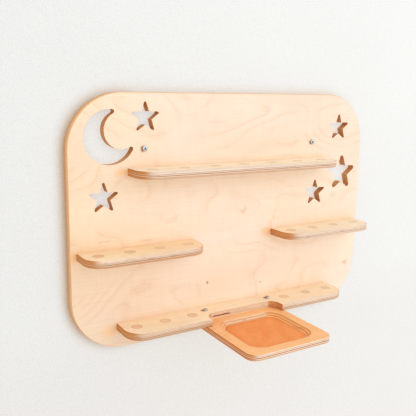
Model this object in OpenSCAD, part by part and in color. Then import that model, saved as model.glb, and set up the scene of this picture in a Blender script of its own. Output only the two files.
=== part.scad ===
// Wall rack in birch plywood: one upright back board with pierced moon and
// star shapes, four narrow shelves with disc inlays, and a pocketed tray that
// hangs under the lowest shelf.
//
// Frame: +X to the right, +Y into the wall, +Z up. The back face of the board
// is the plane Y = 0 and the object stands out towards -Y. The origin is the
// midpoint between the two wall screws on that face.

/* [Back board] */
// Width of the back board
board_w = 600; // [560:1:700]
// Height of the back board
board_h = 416; // [400:1:480]
// Thickness of the back board
board_t = 15; // [12:0.5:21]
// Corner radius of the back board
board_r = 90; // [70:1:110]
// Softening radius along the outline of every plywood piece
soft = 1.4; // [0.5:0.1:2.5]

/* [Wall screws] */
// Distance between the two wall screws
screw_span = 347; // [330:1:356]
// Height of the wall screws above the lower edge of the board
screw_h = 327.85; // [322:0.05:334]
// Length of the threaded stretch behind the board
stud_len = 42; // [30:1:60]
// Thread radius of a wall screw behind the board
stud_r = 2.5; // [2:0.1:2.6]
// Smooth shank radius of a wall screw inside the board
shank_r = 1.8; // [1.4:0.1:1.9]
// Head radius of the wall screws and the tray screws
visible_head_r = 4.6; // [4.2:0.1:4.8]
// Height of their heads above the wood
visible_head_h = 2.5; // [2:0.1:3]

/* [Pierced shapes] */
// Radius of the outer arc of the moon
moon_r = 43.2; // [42:0.1:45]
// Radius of the inner arc of the moon
moon_bite_r = 29.6; // [28:0.1:31]
// Radius of the two tips of the moon
moon_tip_r = 3.4; // [2:0.1:4]
// Point radius of a small star
star_r = 28.6; // [22:0.1:31]
// Point radius of the large star
star_big_r = 42.6; // [34:0.1:45]
// Inner radius of a star as a share of its point radius
star_waist = 0.4; // [0.36:0.01:0.46]
// Radius in the points of a small star
tip_r = 1.9; // [1:0.1:2.4]
// Radius in the points of the large star
tip_big_r = 4.2; // [1:0.1:5]

/* [Shelves] */
// Thickness of the four shelves
shelf_t = 12; // [10:0.5:15]
// Radius of the front corners of a shelf
shelf_r = 32; // [20:1:34]
// Width of the upper shelf
upper_w = 405; // [400:1:420]
// Depth of the upper shelf
upper_d = 58; // [54:1:70]
// Height of the top of the upper shelf above the lower edge of the board
upper_h = 297.6; // [294:0.1:301]
// Width of a side shelf
side_w = 206; // [200:1:212]
// Depth of a side shelf
side_d = 59.5; // [54:0.5:70]
// Height of the top of the side shelves above the lower edge of the board
side_h = 169.4; // [160:0.1:185]
// Gap between the end of a side shelf and the side of the board
side_inset = 10; // [6:1:14]
// Width of the bottom shelf
bottom_w = 451; // [446:1:460]
// Depth of the bottom shelf
bottom_d = 62; // [58:1:70]
// Height of the top of the bottom shelf above the lower edge of the board
bottom_h = 42.3; // [38:0.1:60]
// Width of the notch in the bottom shelf
notch_w = 148; // [140:1:154]
// Depth of the bottom shelf behind the notch
notch_d = 34; // [30:1:36]
// Radius in the inner corners of the notch
notch_r = 20; // [8:1:22]
// Sideways place of the notch, from the middle of the board
notch_x = -4; // [-6:0.5:4]

/* [Disc inlays] */
// Radius of a disc
disc_r = 9.1; // [8:0.1:11]
// Depth of the pocket that a disc fills
disc_t = 3; // [2:0.5:5]
// Pitch of the discs on the upper shelf
upper_pitch = 57.9; // [54:0.1:58]
// Pitch of the discs on the side shelves
side_pitch = 52; // [48:0.5:54]
// Pitch of the discs on the bottom shelf
bottom_pitch = 51.6; // [48:0.1:52]
// Distance from the middle of the board to the middle disc of each bottom row
bottom_disc_x = 150.5; // [148:0.5:153]
// Distance from the face of the board to the row of discs
disc_y = 28.5; // [26:0.5:34]

/* [Tray] */
// Width of the tray
tray_w = 164.4; // [160:0.1:170]
// Sideways place of the tray, from the middle of the board
tray_x = -6.2; // [-8:0.1:4]
// Reach of the tray from the face of the board
tray_d = 191.9; // [186:0.1:200]
// Thickness of the tray
tray_t = 10; // [9:0.5:12]
// Radius of the front corners of the tray
tray_r = 20; // [10:1:26]
// Width of the pocket at the top face of the tray
pocket_w = 126.4; // [118:0.1:128]
// Length of the pocket at the top face of the tray
pocket_l = 121.8; // [114:0.1:124]
// Distance from the face of the board to the rear of the pocket
pocket_y = 51.5; // [48:0.5:56]
// Depth of the pocket
pocket_dep = 6; // [4:0.5:6.5]
// Corner radius of the pocket at the top face of the tray
pocket_r = 28; // [20:1:32]
// Slope of the walls of the pocket in degrees, from level
pocket_slope = 33.5; // [32:0.5:60]
// Radius between the walls and the floor of the pocket
pocket_cove = 3; // [1:0.5:3.5]

/* [Fixings] */
// Distance between the two tray screws
tray_screw_span = 134.5; // [130:0.5:140]
// Distance from the face of the board to the tray screws
tray_screw_y = 18.5; // [16:0.5:20]
// Distance from the back face of the board to the point of a shelf screw
shelf_screw_len = 40; // [35:1:45]
// Length of a dowel
dowel_len = 26; // [20:1:30]
// Radius of a dowel
dowel_r = 3; // [2.5:0.5:3]

/* [Hidden] */
$fn = 96;

gap = 0.05;                       // working clearance around hidden pins and inlays
over = 1;                         // how far a cutter runs past the face it opens
end_room = 1;                     // free depth beyond a screw or dowel in a shelf
section_fn = 48;                  // facets of the circles in edge sections
moon_fn = 160;                    // facets of the arcs of the moon

// Levels and places
board_z = -screw_h;               // lower edge of the board
face_y = -board_t;                // front face of the board
upper_z = board_z + upper_h;      // tops of the shelves
side_z = board_z + side_h;
bottom_z = board_z + bottom_h;
tray_z = bottom_z - shelf_t;      // top of the tray
side_x = board_w/2 - side_inset - side_w/2;
wall_screw_xs = [-screw_span/2, screw_span/2];
tray_screw_xs = [-tray_screw_span/2, tray_screw_span/2];

// Screws and their holes
wall_hole_r = 2.75;               // clearance hole of a wall screw
wall_point_len = 6;
point_r = 0.4;                    // blunt end of every screw point
screw_r = 2;                      // shelf and tray screws
screw_point_len = 3;
screw_hole_r = 2.1;               // their clearance holes
sunk_head_r = 3.7;                // countersunk head of a shelf screw
sunk_rim = 0.5;                   // height of the straight rim of that head
sunk_depth = 0.3;                 // from the back face of the board to that head
sunk_recess_w = 0.9;
sunk_recess_h = 2.9;              // height of the cutter of the cross recess
countersink_h = 3;                // cone in the back face, and its two radii
countersink_r = [4.6, 1.6];
countersink_over = 0.5;
pan_recess_w = 1;
tray_screw_len = 20;
tray_hole_dep = 9;                // depth of the screw holes in the tray

// Dowels and discs
dowel_in_board = 9.5;             // stretch of a dowel inside the board
dowel_hole_dep = 10;              // depth of its blind hole there
dowel_bevel = 0.6;
disc_lift = 0.02;                 // space under a disc
disc_top = disc_t - gap - disc_lift;
disc_rim = disc_t - 0.3;          // height of the straight side of a disc
disc_bevel = 0.25;                // width of the bevel above it

// Places of the pierced shapes, from the left side and the lower edge of the board
moon_at = [68.4, 347.1];
bite_at = [87.8, 357.4];
// Stars: x, y, point radius, radius in the points
stars = [
    [128.0, 377.0, star_r, tip_r],
    [56.3, 252.4, star_r, tip_r],
    [539.1, 353.8, star_r, tip_r],
    [552.6, 264.6, star_big_r, tip_big_r],
    [486.3, 230.2, star_r, tip_r]
];

// Rows of discs along X, as offsets from the middle of each row
upper_xs = [for (i = [-3:3]) i*upper_pitch];
side_xs = [for (i = [-1.5:1:1.5]) i*side_pitch];
bottom_xs = [for (i = [-1:1]) i*bottom_pitch];

// Rear fixings along X, as offsets from the middle of each shelf
upper_screw_xs = [-160, 0, 160];
side_screw_xs = [-70, 70];
bottom_screw_xs = [-190, 0, 190];
upper_dowel_xs = [-100, 100];
side_dowel_xs = [-35, 35];
bottom_dowel_xs = [-125, 125];

// Shelves: x of the middle, z of the top, screw offsets, dowel offsets
shelves = [
    [0, upper_z, upper_screw_xs, upper_dowel_xs],
    [-side_x, side_z, side_screw_xs, side_dowel_xs],
    [side_x, side_z, side_screw_xs, side_dowel_xs],
    [0, bottom_z, bottom_screw_xs, bottom_dowel_xs]
];

// Centres, as x and z, of a row of fixings in a shelf with its top at z
function at_row(x, z, offsets) = [for (i = offsets) [x + i, z - shelf_t/2]];

// ---------- general helpers ----------

// Children moved to x, y and turned about Z
module placed(x, y, turn = 0) {
    translate([x, y, 0]) rotate([0, 0, turn]) children();
}

// Section drawn with its edge towards +X, swept along +X with its edge towards -Y
module swept(len) {
    rotate([90, 0, 90]) linear_extrude(len) mirror([1, 0]) children();
}

// Edge section of a softened slab: it ends at x = edge
module edge_section(edge, thick) {
    square([edge - soft, thick]);
    translate([0, soft]) square([edge, thick - 2*soft]);
    translate([edge - soft, soft]) circle(soft, $fn = section_fn);
    translate([edge - soft, thick - soft]) circle(soft, $fn = section_fn);
}

// Quarter of a softened round corner, filling +X +Y around its centre
module soft_corner(radius, thick) {
    rotate_extrude(angle = 90) edge_section(radius, thick);
}

// Straight softened rim, running along +X, with its edge towards -Y
module soft_rim(len, width, thick) {
    swept(len) edge_section(width, thick);
}

// Slab centred in x, from the wall side y = 0 to y = -depth and upwards from z = 0,
// with softened front and sides and round front corners
module soft_shelf(width, depth, radius, thick) {
    x = width/2 - radius;
    y = -depth + radius;
    placed(-x, y) cube([2*x, -y, thick]);
    placed(-x, y) soft_rim(2*x, radius, thick);
    placed(-x, 0, -90) soft_rim(-y, radius, thick);
    placed(x, y, 90) soft_rim(-y, radius, thick);
    placed(-x, y, 180) soft_corner(radius, thick);
    placed(x, y, 270) soft_corner(radius, thick);
}

// Softened slab with four round corners, centred in x, y from 0 up to height
module soft_plate(width, height, radius, thick) {
    x = width/2 - radius;
    low = radius;
    high = height - radius;
    placed(-x, low) cube([2*x, high - low, thick]);
    placed(-x, low) soft_rim(2*x, radius, thick);
    placed(x, high, 180) soft_rim(2*x, radius, thick);
    placed(-x, high, -90) soft_rim(high - low, radius, thick);
    placed(x, low, 90) soft_rim(high - low, radius, thick);
    placed(x, high) soft_corner(radius, thick);
    placed(-x, high, 90) soft_corner(radius, thick);
    placed(-x, low, 180) soft_corner(radius, thick);
    placed(x, low, 270) soft_corner(radius, thick);
}

// Cylinder along +Y between two values of y
module pin_y(x, z, radius, from, to) {
    translate([x, from, z]) rotate([-90, 0, 0]) cylinder(h = to - from, r = radius);
}

// Cutter of a cross recess, upwards from z = bottom
module cross_recess(len, width, bottom, height) {
    for (a = [0, 90]) rotate([0, 0, a])
        translate([-len/2, -width/2, bottom]) cube([len, width, height]);
}

// Countersunk screw along Z: head at the top (z = 0), point at z = -len
module sunk_screw(len) {
    difference() {
        rotate_extrude() polygon([
            [0, 0], [sunk_head_r, 0], [sunk_head_r, -sunk_rim],
            [screw_r, -sunk_rim - (sunk_head_r - screw_r)],
            [screw_r, -len + screw_point_len], [point_r, -len], [0, -len]]);
        cross_recess(sunk_head_r, sunk_recess_w, -sunk_recess_h*0.55, sunk_recess_h);
    }
}

// Section of a pan head that stands on z = 0, from its crown out to its rim.
// Table: share of the head radius, share of the head height
pan_section = [
    for (p = [[0, 1], [0.5, 0.97], [0.75, 0.86], [0.9, 0.66], [1, 0.3], [1, 0]])
        [p[0]*visible_head_r, p[1]*visible_head_h]
];

// Cross recess of a pan head, cut down from its crown
module pan_recess() {
    rotate([0, 0, 45])
        cross_recess(visible_head_r, pan_recess_w, visible_head_h*0.35, visible_head_h);
}

// ---------- pierced shapes ----------

function dir(a) = [cos(a), sin(a)];
function unit(v) = v / norm(v);

// Star with one point straight up and rounded points
module star(radius, round_r) {
    tip = atan(star_waist*sin(36) / (1 - star_waist*cos(36)));  // half angle of a point
    back = round_r / sin(tip);          // from a point to the centre of its rounding
    half = 90 - tip;                    // half the turn around a point
    steps = 8;                          // steps around a point
    polygon([for (i = [0:4]) let (a = 90 + 72*i)
        each concat([star_waist*radius*dir(a - 36)],
            [for (j = [0:steps])
                (radius - back)*dir(a) + round_r*dir(a - half + 2*half*j/steps)])]);
}

// Crescent with rounded tips, around the centre of its outer arc
module crescent() {
    bite = bite_at - moon_at;                       // centre of the inner arc
    dist = norm(bite);
    axis = atan2(bite[1], bite[0]);
    from_moon = moon_r - moon_tip_r;                // tip centre from the outer centre
    from_bite = moon_bite_r + moon_tip_r;           // tip centre from the inner centre
    along = (from_moon*from_moon - from_bite*from_bite + dist*dist) / (2*dist);
    across = sqrt(from_moon*from_moon - along*along);
    steps = 12;                                     // steps around a tip
    lead = 0.4;                                     // run of the cutter past the tip arc
    reach = 20;                                     // its length beyond the tip
    flare = 8;                                      // its widening on each side
    difference() {
        circle(moon_r, $fn = moon_fn);
        translate(bite) circle(moon_bite_r, $fn = moon_fn);
        for (side = [-1, 1]) {
            mid = along*dir(axis) + side*across*dir(axis + 90);   // centre of this tip
            outer = moon_r*unit(mid);               // where it touches the outer arc
            inner = bite + moon_bite_r*unit(mid - bite);    // and the inner arc
            start = atan2(outer[1] - mid[1], outer[0] - mid[0]);
            end = atan2(inner[1] - mid[1], inner[0] - mid[0]);
            turn = (end - start + 540) % 360 - 180;
            cap = [for (i = [0:steps]) mid + moon_tip_r*dir(start + turn*i/steps)];
            first = cap[0] + lead*unit(cap[0] - cap[1]);
            last = cap[steps] + lead*unit(cap[steps] - cap[steps - 1]);
            out = unit((outer + inner)/2 - mid);    // towards the sharp end to cut away
            polygon(concat([first], [for (i = [1:steps - 1]) cap[i]], [last],
                [last + reach*out + flare*unit(inner - outer),
                 first + reach*out + flare*unit(outer - inner)]));
        }
    }
}

// Drawing on the board: x from its middle, y from its lower edge
module pierced() {
    translate([moon_at[0] - board_w/2, moon_at[1]]) crescent();
    for (s = stars) translate([s[0] - board_w/2, s[1]]) star(s[2], s[3]);
}

// ---------- plywood pieces ----------

module back_board() {
    color("wheat")
    difference() {
        translate([0, 0, board_z]) rotate([90, 0, 0])
            soft_plate(board_w, board_h, board_r, board_t);
        translate([0, over, board_z]) rotate([90, 0, 0])
            linear_extrude(board_t + 2*over) pierced();
        for (x = wall_screw_xs) pin_y(x, 0, wall_hole_r, face_y - over, over);
        // screw holes of the shelves, with countersinks in the back face
        for (s = shelves, p = at_row(s[0], s[1], s[2])) {
            pin_y(p[0], p[1], screw_hole_r, face_y - over, over);
            translate([p[0], 0, p[1]]) rotate([90, 0, 0]) translate([0, 0, -countersink_over])
                cylinder(h = countersink_h, r1 = countersink_r[0], r2 = countersink_r[1]);
        }
        // blind dowel holes
        for (s = shelves, p = at_row(s[0], s[1], s[3]))
            pin_y(p[0], p[1], dowel_r + gap, face_y - over, face_y + dowel_hole_dep);
    }
}

// Holes that every shelf has in its rear edge, and the pockets of its discs
module shelf_holes(screw_xs, dowel_xs, disc_xs) {
    screw_dep = shelf_screw_len - board_t + end_room;
    dowel_dep = dowel_len - dowel_in_board + end_room;
    for (x = screw_xs) pin_y(x, -shelf_t/2, screw_r + gap, -screw_dep, over);
    for (x = dowel_xs) pin_y(x, -shelf_t/2, dowel_r + gap, -dowel_dep, over);
    for (x = disc_xs) translate([x, -disc_y, -disc_t])
        cylinder(h = disc_t + over, r = disc_r + gap);
}

module upper_shelf() {
    color("burlywood")
    translate([0, face_y, upper_z]) difference() {
        translate([0, 0, -shelf_t]) soft_shelf(upper_w, upper_d, shelf_r, shelf_t);
        shelf_holes(upper_screw_xs, upper_dowel_xs, upper_xs);
    }
}

module side_shelf(x) {
    color("burlywood")
    translate([x, face_y, side_z]) difference() {
        translate([0, 0, -shelf_t]) soft_shelf(side_w, side_d, shelf_r, shelf_t);
        shelf_holes(side_screw_xs, side_dowel_xs, side_xs);
    }
}
module left_shelf() side_shelf(-side_x);
module right_shelf() side_shelf(side_x);

// Cutter of the notch with round inner corners, upwards from z = 0
module notch() {
    height = shelf_t + 2*over;
    front = -bottom_d - over;
    corner_x = notch_w/2 - notch_r;
    corner_y = -notch_d - notch_r;
    translate([-notch_w/2, front, 0]) cube([notch_w, corner_y - front, height]);
    translate([-corner_x, front, 0]) cube([2*corner_x, -notch_d - front, height]);
    for (s = [-1, 1]) translate([s*corner_x, corner_y, 0]) cylinder(h = height, r = notch_r);
}

module bottom_shelf() {
    disc_xs = [for (s = [-1, 1]) for (i = bottom_xs) s*bottom_disc_x + i];
    color("burlywood")
    translate([0, face_y, bottom_z]) difference() {
        translate([0, 0, -shelf_t]) soft_shelf(bottom_w, bottom_d, shelf_r, shelf_t);
        translate([notch_x, 0, -shelf_t - over]) notch();
        shelf_holes(bottom_screw_xs, bottom_dowel_xs, disc_xs);
        // clearance holes of the tray screws
        for (x = tray_screw_xs) translate([x, -tray_screw_y, -shelf_t - over])
            cylinder(h = shelf_t + 2*over, r = screw_hole_r);
    }
}

// Section of the pocket, from x = 0 out to its top edge at x = pocket_r:
// a level floor, a round foot and a straight sloping wall
module pocket_section() {
    slope = pocket_slope;
    cove = pocket_cove;
    foot = pocket_r - pocket_dep/tan(slope) - cove*tan(slope/2);    // where the floor ends
    top = pocket_dep + over;
    translate([0, -pocket_dep]) {
        polygon([[0, 0], [foot, 0], [foot + cove*sin(slope), cove - cove*cos(slope)],
            [pocket_r + over/tan(slope), top], [0, top]]);
        translate([foot, cove]) circle(cove, $fn = section_fn);
    }
}

// Cutter of the pocket, centred in x, y from 0 to -pocket_l, top face at z = 0
module pocket() {
    x = pocket_w/2 - pocket_r;
    front = -pocket_l + pocket_r;
    len = pocket_l - 2*pocket_r;
    translate([-x, front, -pocket_dep]) cube([2*x, len, pocket_dep + over]);
    // one end wall, one side wall and two corners, then the same turned half round
    for (k = [0, 1]) rotate([0, 0, 180*k]) translate([0, k*pocket_l, 0]) {
        placed(-x, front) swept(2*x) pocket_section();
        placed(-x, -pocket_r, -90) swept(len) pocket_section();
        placed(-x, front, 180) rotate_extrude(angle = 90) pocket_section();
        placed(x, front, 270) rotate_extrude(angle = 90) pocket_section();
    }
}

module tray() {
    color("sandybrown")
    translate([tray_x, face_y, tray_z]) difference() {
        translate([0, 0, -tray_t]) soft_shelf(tray_w, tray_d, tray_r, tray_t);
        translate([0, -pocket_y, 0]) pocket();
        for (x = tray_screw_xs) translate([x - tray_x, -tray_screw_y, -tray_hole_dep])
            cylinder(h = tray_hole_dep + over, r = screw_r + gap);
    }
}

// ---------- disc inlays ----------

module discs(x, z, offsets) {
    color("silver")
    for (i = offsets) translate([x + i, face_y - disc_y, z - disc_t + disc_lift])
        rotate_extrude() polygon([
            [0, 0], [disc_r, 0], [disc_r, disc_rim],
            [disc_r - disc_bevel, disc_top], [0, disc_top]]);
}
module upper_discs() discs(0, upper_z, upper_xs);
module left_discs() discs(-side_x, side_z, side_xs);
module right_discs() discs(side_x, side_z, side_xs);
module bottom_left_discs() discs(-bottom_disc_x, bottom_z, bottom_xs);
module bottom_right_discs() discs(bottom_disc_x, bottom_z, bottom_xs);

// ---------- fixings ----------

// Dowels with bevelled ends, from inside the board into the shelf
module dowel_row(x, z, offsets) {
    end_r = dowel_r - dowel_bevel;
    color("tan")
    for (p = at_row(x, z, offsets))
        translate([p[0], face_y + dowel_in_board, p[1]]) rotate([90, 0, 0])
            rotate_extrude() polygon([
                [0, 0], [end_r, 0], [dowel_r, dowel_bevel],
                [dowel_r, dowel_len - dowel_bevel], [end_r, dowel_len], [0, dowel_len]]);
}
module upper_dowels() dowel_row(0, upper_z, upper_dowel_xs);
module left_dowels() dowel_row(-side_x, side_z, side_dowel_xs);
module right_dowels() dowel_row(side_x, side_z, side_dowel_xs);
module bottom_dowels() dowel_row(0, bottom_z, bottom_dowel_xs);

// Screws from behind, heads just below the back face of the board
module screw_row(x, z, offsets) {
    color("gainsboro")
    for (p = at_row(x, z, offsets)) translate([p[0], -sunk_depth, p[1]]) rotate([-90, 0, 0])
        sunk_screw(shelf_screw_len - sunk_depth);
}
module upper_shelf_screws() screw_row(0, upper_z, upper_screw_xs);
module left_shelf_screws() screw_row(-side_x, side_z, side_screw_xs);
module right_shelf_screws() screw_row(side_x, side_z, side_screw_xs);
module bottom_shelf_screws() screw_row(0, bottom_z, bottom_screw_xs);

// Pan-head screws down through the bottom shelf into the tray
module tray_screws() {
    color("gainsboro")
    for (x = tray_screw_xs) translate([x, face_y - tray_screw_y, bottom_z + gap]) difference() {
        rotate_extrude() polygon(concat(pan_section,
            [[screw_r, 0], [screw_r, screw_point_len - tray_screw_len],
             [point_r, -tray_screw_len], [0, -tray_screw_len]]));
        pan_recess();
    }
}

// Wall screws: pan head on the face of the board, smooth shank through the
// board, full thread and a point behind it
module wall_screws() {
    shank_end = -board_t - gap;
    stud_end = shank_end - stud_len;
    color("silver")
    for (x = wall_screw_xs) translate([x, face_y - gap, 0]) rotate([90, 0, 0]) difference() {
        union() {
            rotate_extrude() polygon(concat(pan_section,
                [[shank_r, 0], [shank_r, shank_end], [0, shank_end]]));
            translate([0, 0, stud_end]) cylinder(h = stud_len, r = stud_r);
            translate([0, 0, stud_end - wall_point_len])
                cylinder(h = wall_point_len, r1 = point_r, r2 = stud_r);
        }
        pan_recess();
    }
}

back_board();
upper_shelf();
left_shelf();
right_shelf();
bottom_shelf();
tray();
upper_discs();
left_discs();
right_discs();
bottom_left_discs();
bottom_right_discs();
upper_dowels();
left_dowels();
right_dowels();
bottom_dowels();
upper_shelf_screws();
left_shelf_screws();
right_shelf_screws();
bottom_shelf_screws();
tray_screws();
wall_screws();
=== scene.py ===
"""Plywood wall rack: an upright board with moon and star openings, four shelves and a tray.

X runs along the rack to the right, Z up, and Y towards the wall, so the front faces -Y.
The wall screws are at z = 0. Scene lengths are in metres; materials and small parts are
worked out in millimetres.
"""

import math
from dataclasses import dataclass

import bmesh
import bpy
import numpy as np
from mathutils import Matrix, Vector


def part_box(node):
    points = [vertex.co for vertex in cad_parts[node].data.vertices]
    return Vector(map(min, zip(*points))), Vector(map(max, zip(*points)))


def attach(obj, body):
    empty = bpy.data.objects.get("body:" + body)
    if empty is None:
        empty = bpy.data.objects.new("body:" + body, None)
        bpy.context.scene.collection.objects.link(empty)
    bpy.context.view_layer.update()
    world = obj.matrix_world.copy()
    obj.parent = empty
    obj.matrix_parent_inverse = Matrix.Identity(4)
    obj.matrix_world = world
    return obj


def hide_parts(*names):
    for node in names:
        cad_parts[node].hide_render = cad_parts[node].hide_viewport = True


MM = 0.001

# outline of the upright board, in millimetres
BOARD_HALF_WIDTH = 300.0
BOARD_HALF_HEIGHT = 208.0
BOARD_CORNER = 90.0
BOARD_MIDDLE_Z = -119.85
EDGE_MARGIN = 5.0  # how far inside the outline the outer edge is told from the openings


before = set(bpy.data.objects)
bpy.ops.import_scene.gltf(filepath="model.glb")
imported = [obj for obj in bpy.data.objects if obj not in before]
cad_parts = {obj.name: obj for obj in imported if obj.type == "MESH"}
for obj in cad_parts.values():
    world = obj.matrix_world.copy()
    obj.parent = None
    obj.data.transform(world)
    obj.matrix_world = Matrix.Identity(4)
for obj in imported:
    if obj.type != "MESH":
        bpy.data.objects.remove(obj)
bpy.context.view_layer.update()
scene = bpy.context.scene


# ---------------------------------------------------------------- node helpers


class Value:
    """A node output. Arithmetic and comparisons on it add math nodes."""

    def __init__(self, nodes, socket):
        self.nodes = nodes
        self.socket = socket

    def __add__(self, other):
        return self.nodes.math("ADD", self, other)

    def __radd__(self, other):
        return self.nodes.math("ADD", other, self)

    def __sub__(self, other):
        return self.nodes.math("SUBTRACT", self, other)

    def __rsub__(self, other):
        return self.nodes.math("SUBTRACT", other, self)

    def __mul__(self, other):
        return self.nodes.math("MULTIPLY", self, other)

    def __truediv__(self, other):
        return self.nodes.math("DIVIDE", self, other)

    def __mod__(self, other):
        return self.nodes.math("MODULO", self, other)

    def __gt__(self, other):
        return self.nodes.math("GREATER_THAN", self, other)

    def __lt__(self, other):
        return self.nodes.math("LESS_THAN", self, other)

    def __abs__(self):
        return self.nodes.math("ABSOLUTE", self)

    def swing(self, width):
        """Moved from round 0.5 to round 0, and scaled to this width."""
        return (self - 0.5) * width


class Nodes:
    """A node tree and short calls that add nodes to it."""

    def __init__(self, tree):
        self.tree = tree

    def add(self, kind, **props):
        node = self.tree.nodes.new(kind)
        for key, value in props.items():
            setattr(node, key, value)
        return node

    def put(self, socket, value):
        """Link or set an input; None leaves it alone."""
        if value is None:
            return
        if isinstance(value, Value):
            self.tree.links.new(value.socket, socket)
            return
        have = socket.default_value
        if hasattr(have, "__len__"):
            value = tuple(value) if hasattr(value, "__len__") else (value,) * 3
            if len(value) == 3 and len(have) == 4:
                value += (1.0,)
        socket.default_value = value

    def fill(self, node, values, output=0):
        """Give a node its first inputs and return one of its outputs."""
        for socket, value in zip(node.inputs, values):
            self.put(socket, value)
        return Value(self, node.outputs[output])

    def math(self, operation, first, second=None, third=None, clamp=False):
        node = self.add("ShaderNodeMath", operation=operation, use_clamp=clamp)
        return self.fill(node, (first, second, third))

    def limit(self, value, least, most):
        return self.math("MINIMUM", self.math("MAXIMUM", value, least), most)

    def hypot(self, a, b):
        return self.math("SQRT", a * a + b * b)

    def beyond(self, a, half_a, b, half_b):
        """Distance outside a rectangle of these half sizes round the origin."""
        over_a = self.math("MAXIMUM", abs(a) - half_a, 0.0)
        over_b = self.math("MAXIMUM", abs(b) - half_b, 0.0)
        return self.hypot(over_a, over_b)

    def split(self, vector):
        node = self.add("ShaderNodeSeparateXYZ")
        self.put(node.inputs[0], vector)
        return [Value(self, output) for output in node.outputs]

    def vector(self, x, y, z):
        return self.fill(self.add("ShaderNodeCombineXYZ"), (x, y, z))

    def noise(self, at, scale=1.0, detail=2.0, rough=0.5, distortion=0.0):
        node = self.add("ShaderNodeTexNoise", noise_dimensions="3D")
        self.put(node.inputs["Vector"], self.vector(*at) if isinstance(at, tuple) else at)
        self.put(node.inputs["Scale"], scale)
        self.put(node.inputs["Detail"], detail)
        self.put(node.inputs["Roughness"], rough)
        self.put(node.inputs["Distortion"], distortion)
        return Value(self, node.outputs[0])

    def white(self, value):
        node = self.add("ShaderNodeTexWhiteNoise", noise_dimensions="1D")
        self.put(node.inputs["W"], value)
        return Value(self, node.outputs[0])

    def span(self, value, over, to=(0.0, 1.0), smooth=False):
        """Clamped change from to[0] to to[1] while the value runs over a range."""
        node = self.add("ShaderNodeMapRange", clamp=True)
        node.interpolation_type = "SMOOTHSTEP" if smooth else "LINEAR"
        return self.fill(node, (value, *over, *to))

    def mix(self, amount, a, b, blend="MIX"):
        node = self.add("ShaderNodeMix", data_type="RGBA", blend_type=blend)
        self.put(node.inputs[0], amount)
        self.put(node.inputs[6], a)
        self.put(node.inputs[7], b)
        return Value(self, node.outputs[2])

    def mix_float(self, amount, a, b):
        node = self.add("ShaderNodeMix", data_type="FLOAT")
        self.put(node.inputs[0], amount)
        self.put(node.inputs[2], a)
        self.put(node.inputs[3], b)
        return Value(self, node.outputs[0])

    def tint(self, colour, filter_colour):
        return self.mix(1.0, colour, filter_colour, "MULTIPLY")

    def tint_by(self, amount, colour, filter_colour):
        return self.mix(amount, colour, self.tint(colour, filter_colour))

    def gain(self, colour, factor):
        return self.tint(colour, self.vector(factor, factor, factor))


class Material(Nodes):
    """A material built from an empty node tree."""

    def __init__(self, name):
        self.material = bpy.data.materials.new(name)
        self.material.use_nodes = True
        super().__init__(self.material.node_tree)
        self.tree.nodes.clear()

    def position(self):
        """Object coordinates in millimetres."""
        coordinates = self.add("ShaderNodeTexCoord").outputs["Object"]
        node = self.add("ShaderNodeVectorMath", operation="SCALE")
        self.put(node.inputs[0], Value(self, coordinates))
        self.put(node.inputs[3], 1000.0)
        return Value(self, node.outputs[0])

    def geometry(self, output):
        return Value(self, self.add("ShaderNodeNewGeometry").outputs[output])

    def sharpness(self, radius):
        """0 on flat faces, towards 1 on sharp edges; radius in metres."""
        bevel = self.add("ShaderNodeBevel", samples=6)
        self.put(bevel.inputs["Radius"], radius)
        dot = self.add("ShaderNodeVectorMath", operation="DOT_PRODUCT")
        facing = self.fill(dot, (Value(self, bevel.outputs[0]), self.geometry("Normal")), output=1)
        return self.span(facing, over=(0.99, 0.80))

    def openness(self, distance, samples):
        """1 in the open, towards 0 in corners; distance in metres."""
        node = self.add("ShaderNodeAmbientOcclusion", samples=samples)
        self.put(node.inputs["Distance"], distance)
        return Value(self, node.outputs["AO"])

    def bump(self, height, strength, distance=0.001):
        node = self.add("ShaderNodeBump")
        self.put(node.inputs["Strength"], strength)
        self.put(node.inputs["Distance"], distance)
        self.put(node.inputs["Height"], height)
        return Value(self, node.outputs[0])

    def surface(self, colour, rough, normal, **inputs):
        node = self.add("ShaderNodeBsdfPrincipled")
        self.put(node.inputs["Base Color"], colour)
        self.put(node.inputs["Roughness"], rough)
        self.put(node.inputs["Normal"], normal)
        for key, value in inputs.items():
            self.put(node.inputs[key.replace("_", " ")], value)
        return Value(self, node.outputs[0])

    def finish(self, shader):
        self.put(self.add("ShaderNodeOutputMaterial").inputs[0], shader)
        return self.material


def scaled(colour, weights):
    return tuple(c * w for c, w in zip(colour, weights))


def dress(node, material):
    """Give a CAD piece its only material."""
    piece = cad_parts[node]
    piece.data.materials.clear()
    piece.data.materials.append(material)


# ---------------------------------------------------------------- plywood

THICK, THIN = 1.3, 0.7  # relative thickness of lengthwise and crosswise plies

GLUE = (0.640, 0.370, 0.220)
FIGURE = (0.860, 0.680, 0.520)
PORE = (0.60, 0.38, 0.22)
VOID = (0.330, 0.085, 0.040)
DARK_PLY = (0.26, 0.12, 0.055)
# colour of the painted shade along the bottom arris of a shelf
UNDERSIDE_SHADE_COLOUR = (0.56, 0.26, 0.10)
SHELF_FACE = (0.960, 0.855, 0.694)
SHELF_WARM = (0.945, 0.807, 0.627)
RIGHT_EDGE = (0.835, 0.712, 0.595)
BOARD_END = (0.590, 0.280, 0.105)


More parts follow.
